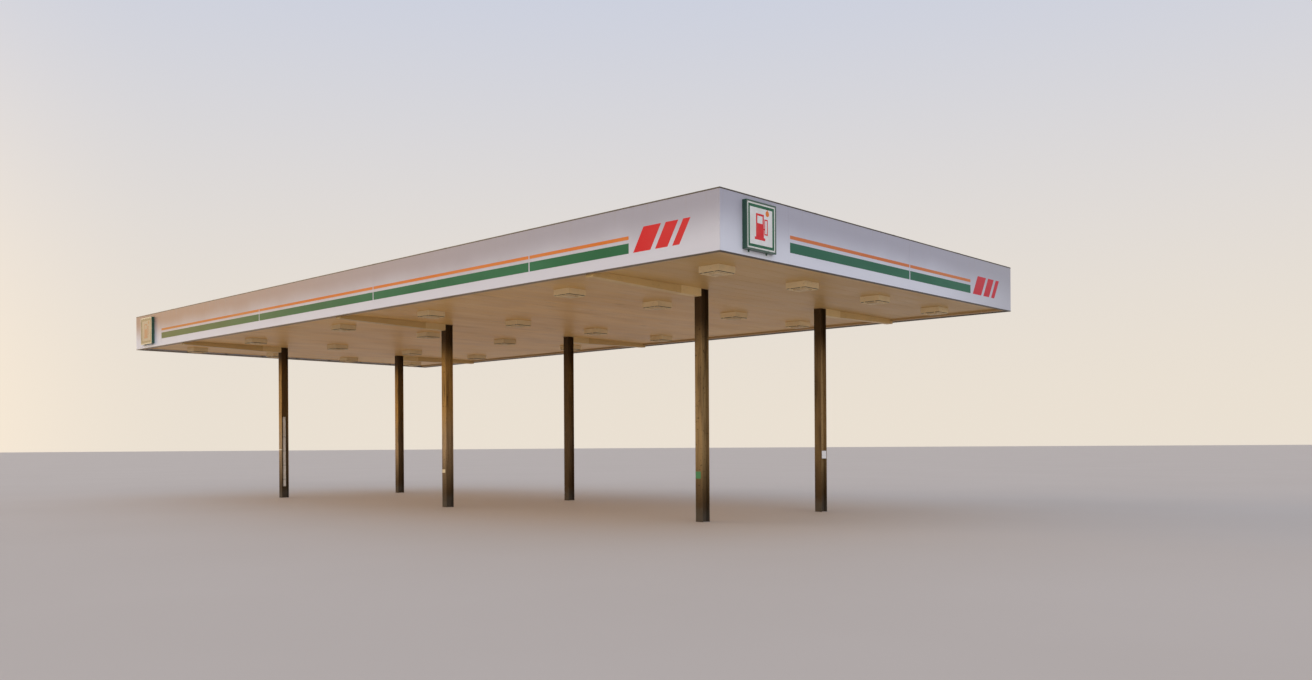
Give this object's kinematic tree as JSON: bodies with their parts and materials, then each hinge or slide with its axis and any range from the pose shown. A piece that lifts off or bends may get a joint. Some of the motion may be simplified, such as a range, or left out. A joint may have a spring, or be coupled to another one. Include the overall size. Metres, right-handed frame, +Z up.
{
  "type": "filling station canopy",
  "caption": "Flat filling station canopy on two rows of steel columns, with cross beams, purlins, ribbed deck pans, ceiling lights and a panelled fascia with blank sign cabinets.",
  "frame": {"origin": "on the ground under the middle of the canopy", "axes": "+X along the canopy, towards the end that shows in the picture; +Y across it, away from the long side that shows; +Z up"},
  "size_m": [26.8, 12.28, 6.405],
  "materials": {
    "column_paint": "satin dark bronze paint",
    "primed_steel": "matt red oxide primer",
    "galvanised_steel": "dull galvanised",
    "deck_enamel": "satin cream enamel",
    "fascia_white": "satin white with painted bands",
    "trim_bronze": "satin dark bronze",
    "sign_green": "gloss dark green",
    "sign_face": "blank translucent acrylic",
    "light_enamel": "satin cream enamel",
    "light_lens": "prismatic acrylic",
    "guard_white": "matt white"
  },
  "bodies": {
    "root": {"column_front_left": "column_paint", "column_front_mid": "column_paint", "column_front_right": "column_paint", "column_back_left": "column_paint", "column_back_mid": "column_paint", "column_back_right": "column_paint", "cross_beam_left": "primed_steel", "cross_beam_mid": "primed_steel", "cross_beam_right": "primed_steel", "purlins_left_end": "primed_steel", "purlins_left_bay": "primed_steel", "purlins_right_bay": "primed_steel", "purlins_right_end": "primed_steel", "edge_channel_front": "primed_steel", "edge_channel_right": "primed_steel", "edge_channel_back": "primed_steel", "edge_channel_left": "primed_steel", "deck_1": "deck_enamel", "deck_2": "deck_enamel", "deck_3": "deck_enamel", "deck_4": "deck_enamel", "deck_5": "deck_enamel", "gutter_front": "deck_enamel", "gutter_back": "deck_enamel", "fascia_frame_front": "galvanised_steel", "fascia_frame_right": "galvanised_steel", "fascia_frame_back": "galvanised_steel", "fascia_frame_left": "galvanised_steel", "fascia_front": "fascia_white", "fascia_right": "fascia_white", "fascia_back": "fascia_white", "fascia_left": "fascia_white", "top_coping": "trim_bronze", "lower_trim": "trim_bronze", "sign_cabinet_front": "sign_green", "sign_cabinet_right": "sign_green", "sign_cabinet_back": "sign_green", "sign_cabinet_left": "sign_green", "sign_faces": "sign_face", "light_row_1": "light_enamel", "light_row_2": "light_enamel", "light_row_3": "light_enamel", "light_row_4": "light_enamel", "light_lenses": "light_lens", "column_head_boxes": "deck_enamel", "cable_guard": "guard_white"}
  },
  "joints": []
}
